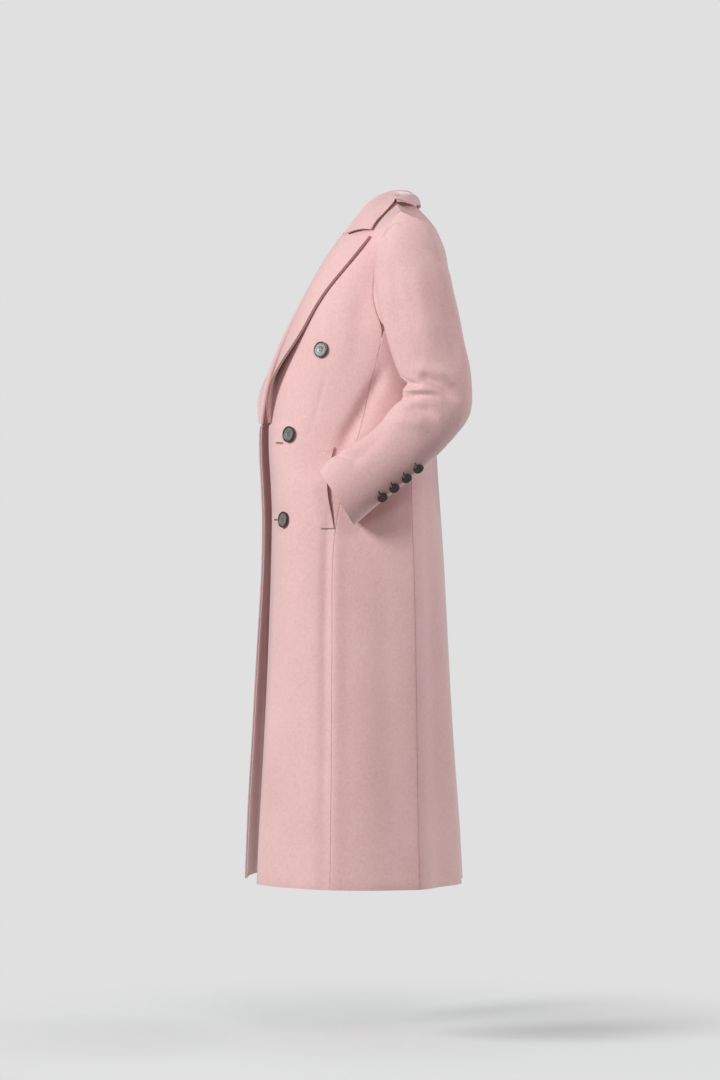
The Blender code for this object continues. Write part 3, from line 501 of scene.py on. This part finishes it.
def fibreGroup():
    # Short fibres lying mostly one way, with knots of nap between them
    group, start, end = makeGroup(
        "napFibres",
        [("Vector", "NodeSocketVector", None), ("Fibre Scale", "NodeSocketFloat", 900.0),
         ("Knot Scale", "NodeSocketFloat", 260.0), ("Knot Share", "NodeSocketFloat", 0.45)],
        [("Height", "NodeSocketFloat"), ("Fleck", "NodeSocketFloat")])
    lay = addNode(group, "ShaderNodeMapping")
    lay.inputs["Scale"].default_value = (1.0, 1.0, 0.34)
    lay.inputs["Rotation"].default_value = (0.22, 0.14, 0.0)
    fibre = addNode(group, "ShaderNodeTexNoise")
    fibre.inputs["Detail"].default_value = 4
    fibre.inputs["Distortion"].default_value = 0.7
    knot = addNode(group, "ShaderNodeTexVoronoi", feature="SMOOTH_F1")
    mix = addNode(group, "ShaderNodeMix", data_type="FLOAT")
    fleck = addNode(group, "ShaderNodeMapRange")
    fleck.inputs["From Min"].default_value = 0.42
    fleck.inputs["From Max"].default_value = 0.68
    links = group.links
    links.new(start.outputs["Vector"], lay.inputs["Vector"])
    links.new(lay.outputs["Vector"], fibre.inputs["Vector"])
    links.new(start.outputs["Fibre Scale"], fibre.inputs["Scale"])
    links.new(start.outputs["Vector"], knot.inputs["Vector"])
    links.new(start.outputs["Knot Scale"], knot.inputs["Scale"])
    links.new(start.outputs["Knot Share"], mix.inputs["Factor"])
    links.new(fibre.outputs["Fac"], mix.inputs[2])
    links.new(knot.outputs["Distance"], mix.inputs[3])
    links.new(mix.outputs[0], end.inputs["Height"])
    links.new(fibre.outputs["Fac"], fleck.inputs["Value"])
    links.new(fleck.outputs["Result"], end.inputs["Fleck"])
    return group


groups = {"mottle": mottleGroup(), "fibres": fibreGroup()}
woolFinish = {
    "deepPink": (0.680, 0.385, 0.378, 1),
    "softPink": (0.775, 0.480, 0.470, 1),
    "fibrePink": (0.890, 0.680, 0.670, 1),
    "roughness": 0.92,
    "sheen": 0.8,
    "sheenRoughness": 0.42,
    "sheenTint": (1.0, 0.93, 0.92, 1),
    "specular": 0.3,
    "cloudScale": 9,
    "speckScale": 160,
    "fleckShare": 0.35,
    "napStrength": 0.55,
    "napDepth": 0.0005,
}


def woolMaterial(name, finish):
    mat = bpy.data.materials.new(name)
    mat.use_nodes = True
    tree = mat.node_tree
    links = tree.links
    shader = tree.nodes["Principled BSDF"]
    coords = addNode(tree, "ShaderNodeTexCoord")
    mottle = addNode(tree, "ShaderNodeGroup", node_tree=groups["mottle"])
    mottle.inputs["Slow Scale"].default_value = finish["cloudScale"]
    mottle.inputs["Quick Scale"].default_value = finish["speckScale"]
    mottle.inputs["Quick Share"].default_value = 0.5
    fibres = addNode(tree, "ShaderNodeGroup", node_tree=groups["fibres"])
    base = addNode(tree, "ShaderNodeMix", data_type="RGBA")
    base.inputs[6].default_value = finish["deepPink"]
    base.inputs[7].default_value = finish["softPink"]
    flecked = addNode(tree, "ShaderNodeMix", data_type="RGBA")
    flecked.inputs[7].default_value = finish["fibrePink"]
    thin = addNode(tree, "ShaderNodeMath", operation="MULTIPLY")
    thin.inputs[1].default_value = finish["fleckShare"]
    bump = addNode(tree, "ShaderNodeBump")
    bump.inputs["Strength"].default_value = finish["napStrength"]
    bump.inputs["Distance"].default_value = finish["napDepth"]
    for group in (mottle, fibres):
        links.new(coords.outputs["Object"], group.inputs["Vector"])
    links.new(mottle.outputs["Mask"], base.inputs["Factor"])
    links.new(base.outputs[2], flecked.inputs[6])
    links.new(fibres.outputs["Fleck"], thin.inputs[0])
    links.new(thin.outputs[0], flecked.inputs["Factor"])
    links.new(flecked.outputs[2], shader.inputs["Base Color"])
    links.new(fibres.outputs["Height"], bump.inputs["Height"])
    links.new(bump.outputs["Normal"], shader.inputs["Normal"])
    shader.inputs["Roughness"].default_value = finish["roughness"]
    shader.inputs["Specular IOR Level"].default_value = finish["specular"]
    shader.inputs["Sheen Weight"].default_value = finish["sheen"]
    shader.inputs["Sheen Roughness"].default_value = finish["sheenRoughness"]
    shader.inputs["Sheen Tint"].default_value = finish["sheenTint"]
    return mat


# On the front buttons the grey face colour is a painted highlight: it stands for the small gleam in the middle of a
# dark button.
buttonCuts = {
    "front": {"radius": 0.0145, "height": 0.0040, "rim": 0.0021, "dish": 0.0011, "hub": 0.0062, "holeRadius": 0.0012,
              "holeSpread": 0.0022, "face": (0.250, 0.235, 0.215, 1), "vein": (0.085, 0.072, 0.062, 1),
              "upright": (0, 0.15, 1)},
    "cuff": {"radius": 0.0094, "height": 0.0030, "rim": 0.0022, "dish": 0.0008, "hub": 0.0034, "holeRadius": 0.0008,
             "holeSpread": 0.0014, "face": (0.060, 0.045, 0.040, 1), "vein": (0.018, 0.011, 0.010, 1),
             "upright": (0, -0.55, 0.83)},
}
hornFinish = {
    "rim": (0.026, 0.012, 0.010, 1),
    "roughness": 0.34,
    "coat": 0.35,
    "coatRoughness": 0.22,
}
threadAndSlitShadeTones = {
    "button": (0.20, 0.17, 0.155, 1),
    "pink": (0.60, 0.33, 0.325, 1),
    # The slit colour is painted shade for the buttonhole's open slit.
    "slit": (0.055, 0.016, 0.015, 1),
}


def plainMaterial(name, colour, roughness, spread):
    mat = bpy.data.materials.new(name)
    mat.use_nodes = True
    tree = mat.node_tree
    shader = tree.nodes["Principled BSDF"]
    coords = addNode(tree, "ShaderNodeTexCoord")
    mottle = addNode(tree, "ShaderNodeGroup", node_tree=groups["mottle"])
    mottle.inputs["Slow Scale"].default_value = 700
    mottle.inputs["Quick Scale"].default_value = 2600
    tone = addNode(tree, "ShaderNodeMix", data_type="RGBA")
    tone.inputs[6].default_value = tuple(c * (1 - spread) for c in colour[:3]) + (1,)
    tone.inputs[7].default_value = tuple(min(1, c * (1 + spread)) for c in colour[:3]) + (1,)
    bump = addNode(tree, "ShaderNodeBump")
    bump.inputs["Strength"].default_value = 0.6
    bump.inputs["Distance"].default_value = 0.00015
    tree.links.new(coords.outputs["Object"], mottle.inputs["Vector"])
    tree.links.new(mottle.outputs["Mask"], tone.inputs["Factor"])
    tree.links.new(mottle.outputs["Mask"], bump.inputs["Height"])
    tree.links.new(tone.outputs[2], shader.inputs["Base Color"])
    tree.links.new(bump.outputs["Normal"], shader.inputs["Normal"])
    shader.inputs["Roughness"].default_value = roughness
    return mat


def hornMaterial(name, cut):
    mat = bpy.data.materials.new(name)
    mat.use_nodes = True
    tree = mat.node_tree
    links = tree.links
    shader = tree.nodes["Principled BSDF"]
    coords = addNode(tree, "ShaderNodeTexCoord")
    mottle = addNode(tree, "ShaderNodeGroup", node_tree=groups["mottle"])
    mottle.inputs["Slow Scale"].default_value = 190
    mottle.inputs["Quick Scale"].default_value = 620
    mottle.inputs["Quick Share"].default_value = 0.55
    # Face colour mottled with the vein colour. On the front buttons that face colour is a painted highlight.
    face = addNode(tree, "ShaderNodeMix", data_type="RGBA")
    face.inputs[6].default_value = cut["vein"]
    face.inputs[7].default_value = cut["face"]
    rim = addNode(tree, "ShaderNodeAttribute", attribute_name="rimShare")
    edge = addNode(tree, "ShaderNodeMapRange", interpolation_type="SMOOTHSTEP")
    edge.inputs["From Min"].default_value = 0.74
    edge.inputs["From Max"].default_value = 0.86
    whole = addNode(tree, "ShaderNodeMix", data_type="RGBA")
    whole.inputs[7].default_value = hornFinish["rim"]
    gloss = addNode(tree, "ShaderNodeMapRange")
    gloss.inputs["To Min"].default_value = hornFinish["roughness"] - 0.08
    gloss.inputs["To Max"].default_value = hornFinish["roughness"] + 0.12
    bump = addNode(tree, "ShaderNodeBump")
    bump.inputs["Strength"].default_value = 0.25
    bump.inputs["Distance"].default_value = 0.0001
    links.new(coords.outputs["Object"], mottle.inputs["Vector"])
    links.new(mottle.outputs["Mask"], face.inputs["Factor"])
    links.new(mottle.outputs["Mask"], gloss.inputs["Value"])
    links.new(mottle.outputs["Mask"], bump.inputs["Height"])
    links.new(rim.outputs["Fac"], edge.inputs["Value"])
    links.new(edge.outputs["Result"], whole.inputs["Factor"])
    links.new(face.outputs[2], whole.inputs[6])
    links.new(whole.outputs[2], shader.inputs["Base Color"])
    links.new(gloss.outputs["Result"], shader.inputs["Roughness"])
    links.new(bump.outputs["Normal"], shader.inputs["Normal"])
    shader.inputs["Coat Weight"].default_value = hornFinish["coat"]
    shader.inputs["Coat Roughness"].default_value = hornFinish["coatRoughness"]
    return mat


def selectFaces(piece, wanted):
    bpy.ops.object.mode_set(mode="EDIT")
    bpy.ops.mesh.select_mode(type="FACE")
    bpy.ops.mesh.select_all(action="DESELECT")
    mesh = bmesh.from_edit_mesh(piece.data)
    for face in mesh.faces:
        face.select = wanted(face)
    mesh.select_flush(True)
    bmesh.update_edit_mesh(piece.data)


def joinPieces(pieces):
    deselectAll()
    for piece in pieces:
        piece.select_set(True)
    bpy.context.view_layer.objects.active = pieces[0]
    bpy.ops.object.join()
    return bpy.context.object


def settlePlace(piece):
    deselectAll()
    piece.select_set(True)
    bpy.context.view_layer.objects.active = piece
    bpy.ops.object.transform_apply(location=True, rotation=True, scale=True)


def modelButton(kind, cut, horn, thread):
    deselectAll()
    bpy.ops.mesh.primitive_cylinder_add(vertices=56, radius=cut["radius"], depth=cut["height"],
                                        location=(0, 0, cut["height"] / 2))
    button = bpy.context.object
    button.name = kind + "ButtonModel"
    settlePlace(button)
    selectFaces(button, lambda face: face.normal.z > 0.9)
    bpy.ops.mesh.inset(thickness=cut["rim"] * 0.75, depth=0)
    bpy.ops.mesh.inset(thickness=cut["rim"] * 0.45, depth=0)
    bpy.ops.transform.translate(value=(0, 0, -cut["dish"]))
    bpy.ops.mesh.inset(thickness=cut["radius"] - cut["rim"] * 1.2 - cut["hub"], depth=0)
    bpy.ops.transform.translate(value=(0, 0, 0.0003))
    bpy.ops.mesh.inset(thickness=cut["hub"] * 0.14, depth=0)
    bpy.ops.transform.translate(value=(0, 0, -0.0003))
    selectFaces(button, lambda face: face.normal.z < -0.9)
    bpy.ops.mesh.inset(thickness=cut["radius"] * 0.2, depth=0)
    bpy.ops.transform.translate(value=(0, 0, -0.0002))
    bpy.ops.object.mode_set(mode="OBJECT")
    soft = button.modifiers.new("turnedEdges", "BEVEL")
    soft.width = 0.00045
    soft.segments = 3
    soft.limit_method = "ANGLE"
    soft.angle_limit = math.radians(22)
    applyModifiers(button)

    floor = cut["height"] - cut["dish"]
    cutters = []
    for across in (-1, 1):
        for up in (-1, 1):
            bpy.ops.object.select_all(action="DESELECT")
            bpy.ops.mesh.primitive_cylinder_add(
                vertices=14, radius=cut["holeRadius"], depth=0.006,
                location=(across * cut["holeSpread"], up * cut["holeSpread"], floor + 0.003 - 0.0014))
            cutters.append(bpy.context.object)
    cutter = joinPieces(cutters)
    settlePlace(cutter)
    holes = button.modifiers.new("holes", "BOOLEAN")
    holes.operation = "DIFFERENCE"
    holes.solver = "EXACT"
    holes.object = cutter
    applyModifiers(button)
    bpy.data.objects.remove(cutter, do_unlink=True)

    stitches = []
    for across in (-1, 1):
        deselectAll()
        bpy.ops.mesh.primitive_uv_sphere_add(segments=10, ring_count=8, radius=cut["holeRadius"] * 0.42,
                                             location=(across * cut["holeSpread"], 0, floor - 0.0001))
        bpy.ops.transform.resize(value=(1, cut["holeSpread"] / cut["holeRadius"] * 2.9, 1))
        stitches.append(bpy.context.object)
    sewn = joinPieces(stitches)
    settlePlace(sewn)
    sewn.data.materials.append(thread)
    button.data.materials.clear()
    button.data.materials.append(horn)
    whole = joinPieces([button, sewn])
    rim = whole.data.attributes.new("rimShare", "FLOAT", "POINT")
    rim.data.foreach_set("value", [math.hypot(v.co.x, v.co.y) / cut["radius"] for v in whole.data.vertices])
    deselectAll()
    whole.select_set(True)
    bpy.context.view_layer.objects.active = whole
    bpy.ops.object.shade_smooth_by_angle(angle=math.radians(35))
    return whole


def readButton(nodeName):
    # Middle of a CAD button's back, and the way it faces
    points = np.unique(np.round([tuple(v.co) for v in nodes[nodeName].data.vertices], 6), axis=0)
    middle = points.mean(axis=0)
    facing = np.linalg.svd(points - middle)[2][2]
    if "cuff" in nodeName:
        side = 1 if "left" in nodeName else -1
        line = sleeveMiddle * np.array((side, 1, 1))
        away = middle - line[np.argmin(np.linalg.norm(line - middle, axis=1))]
    else:
        away = middle - np.array((0, drape["bodyMiddleY"], middle[2]))
    if facing @ away < 0:
        facing = -facing
    back = middle + facing * ((points - middle) @ facing).min()
    return back, facing


def standOn(place, facing, lengthwise):
    # Matrix that puts a piece's X along lengthwise and its Z along facing
    up = Vector(facing).normalized()
    across = (Vector(lengthwise) - up * up.dot(Vector(lengthwise))).normalized()
    turn = Matrix((across, up.cross(across), up)).transposed().to_4x4()
    return Matrix.Translation(Vector(place)) @ turn


def copyPiece(model, name, matrix):
    piece = bpy.data.objects.new(name, model.data.copy())
    piece.data.transform(matrix)
    scene.collection.objects.link(piece)
    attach(piece, "root")
    return piece


holeCuts = {
    "front": {"length": 0.0240, "width": 0.0026, "thread": 0.00060},
    "cuff": {"length": 0.0150, "width": 0.0026, "thread": 0.00045},
}
frontHoles = [  # x of the middle on the left front and on the right front, and z
    (0.112, -0.080, -0.4500),
    (0.100, -0.086, -0.5890),
]
weltStitches = {
    "long": 0.0034,
    "pitch": 0.0046,
    "thick": 0.00042,
    "rows": [((-0.1120, -0.4660), (-0.0860, -0.4662)), ((-0.1085, -0.5985), (-0.0845, -0.5950))],  # y, z of both ends
}


def modelButtonhole(kind, cut, thread, slit):
    deselectAll()
    bpy.ops.mesh.primitive_torus_add(major_segments=28, minor_segments=8, major_radius=cut["width"] / 2,
                                     minor_radius=cut["thread"])
    ring = bpy.context.object
    stretch = (cut["length"] - cut["width"]) / 2
    for way in (-1, 1):
        selectFaces(ring, lambda face: face.calc_center_median().x * way > 0.0001)
        bpy.ops.transform.translate(value=(way * stretch, 0, 0))
    bpy.ops.object.mode_set(mode="OBJECT")
    ring.data.materials.append(thread)
    # A thin dark sheet inside the stitched ring: painted shade for the buttonhole's open slit.
    deselectAll()
    bpy.ops.mesh.primitive_cube_add(size=1, location=(0, 0, -0.0001))
    slitShadeSheet = bpy.context.object
    bpy.ops.transform.resize(value=(cut["length"] - 0.001, cut["width"] * 0.62, 0.0006))
    settlePlace(slitShadeSheet)
    slitShadeSheet.data.materials.append(slit)
    hole = joinPieces([ring, slitShadeSheet])
    hole.name = kind + "ButtonholeModel"
    deselectAll()
    hole.select_set(True)
    bpy.context.view_layer.objects.active = hole
    bpy.ops.object.shade_smooth_by_angle(angle=math.radians(45))
    return hole


def surfaceAt(piece, start, way):
    mesh = piece.data
    tree = BVHTree.FromPolygons([v.co for v in mesh.vertices], [p.vertices for p in mesh.polygons])
    place, facing, _, _ = tree.ray_cast(Vector(start), Vector(way))
    if place is None:
        return None
    return place, facing if facing.dot(Vector(way)) < 0 else -facing


def sewCuffHole(nodeName, back, facing, upright):
    facing = Vector(facing)
    along = (upright - facing * upright.dot(facing)).normalized()
    above = Vector(back) + along * holeCuts["cuff"]["length"] * 0.55 + facing * 0.03
    sleeves = [cloth[name + nodeName.split("_")[2]] for name in ("top_sleeve_", "under_sleeve_")]
    found = [hit for hit in (surfaceAt(sleeve, above, -facing) for sleeve in sleeves) if hit]
    place, slope = max(found, key=lambda hit: hit[0].dot(facing))
    slit = copyPiece(holeModels["cuff"], nodeName + "Hole", standOn(place + slope * 0.0002, slope, along))


def sewFrontHoles(sideName, side):
    for number, (leftX, rightX, z) in enumerate(frontHoles, 1):
        x = leftX if side > 0 else rightX
        place, facing = surfaceAt(cloth["front_" + sideName], (x, -0.6, z), (0, 1, 0))
        hole = copyPiece(holeModels["front"], f"frontButtonhole_{sideName}_{number}",
                         standOn(place + facing * 0.0001, facing, (1, 0, 0)))


def stitchWelt(sideName, side):
    stitches = []
    for start, end in weltStitches["rows"]:
        count = int(math.dist(start, end) / weltStitches["pitch"])
        for k in range(count + 1):
            share = (k + 0.3) / (count + 0.6)
            y = start[0] + (end[0] - start[0]) * share
            z = start[1] + (end[1] - start[1]) * share
            place, facing = surfaceAt(cloth["pocket_welt_" + sideName], (side * 0.6, y, z), (-side, 0, 0))
            deselectAll()
            bpy.ops.mesh.primitive_uv_sphere_add(segments=8, ring_count=6, radius=weltStitches["thick"])
            stitch = bpy.context.object
            bpy.ops.transform.resize(value=(weltStitches["long"] / 2 / weltStitches["thick"], 1, 0.7))
            settlePlace(stitch)
            stitch.data.transform(standOn(place, facing, (0, end[0] - start[0], end[1] - start[1])))
            stitches.append(stitch)
    row = joinPieces(stitches)
    row.name = "weltStitching_" + sideName
    row.data.materials.append(pinkThread)
    row.data.shade_smooth()
    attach(row, "root")


buildStudio()
wool = woolMaterial("pinkWool", woolFinish)
cloth = {}
for nodeName in nodes:
    if "button" in nodeName:
        continue
    kind = nodeName.rsplit("_", 1)[0]
    cut = dict(panelCuts.get(nodeName) or panelCuts.get(kind))
    if kind == "pocket_welt":
        cut["restsOn"] = ["front_" + nodeName.rsplit("_", 1)[1]]
    cloth[nodeName] = makeCloth(nodeName, wool)
print("cloth shaped:", len(cloth), "panels,", sum(len(piece.data.polygons) for piece in cloth.values()), "faces")

buttonThread = plainMaterial("buttonThread", threadAndSlitShadeTones["button"], 0.8, 0.25)
pinkThread = plainMaterial("pinkThread", threadAndSlitShadeTones["pink"], 0.85, 0.2)
paintedSlitShade = plainMaterial("buttonholeSlit", threadAndSlitShadeTones["slit"], 0.9, 0.2)
models = {kind: modelButton(kind, cut, hornMaterial(kind + "Horn", cut), buttonThread)
          for kind, cut in buttonCuts.items()}
holeModels = {kind: modelButtonhole(kind, cut, pinkThread, paintedSlitShade) for kind, cut in holeCuts.items()}
for nodeName in nodes:
    if "button" not in nodeName:
        continue
    kind = nodeName.split("_")[0]
    back, facing = readButton(nodeName)
    back = back + placeShift(back[None, :], nodeName)[0]
    upright = Vector(buttonCuts[kind]["upright"])
    button = copyPiece(models[kind], nodeName + "Horn", standOn(back, facing, upright))
    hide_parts(nodeName)
    if kind == "cuff":
        sewCuffHole(nodeName, back, facing, upright)
print("buttons turned and sewn on")

for sideName, side in sides.items():
    sewFrontHoles(sideName, side)
    stitchWelt(sideName, side)
for model in list(models.values()) + list(holeModels.values()):
    bpy.data.objects.remove(model, do_unlink=True)
print("buttonholes and topstitching sewn")
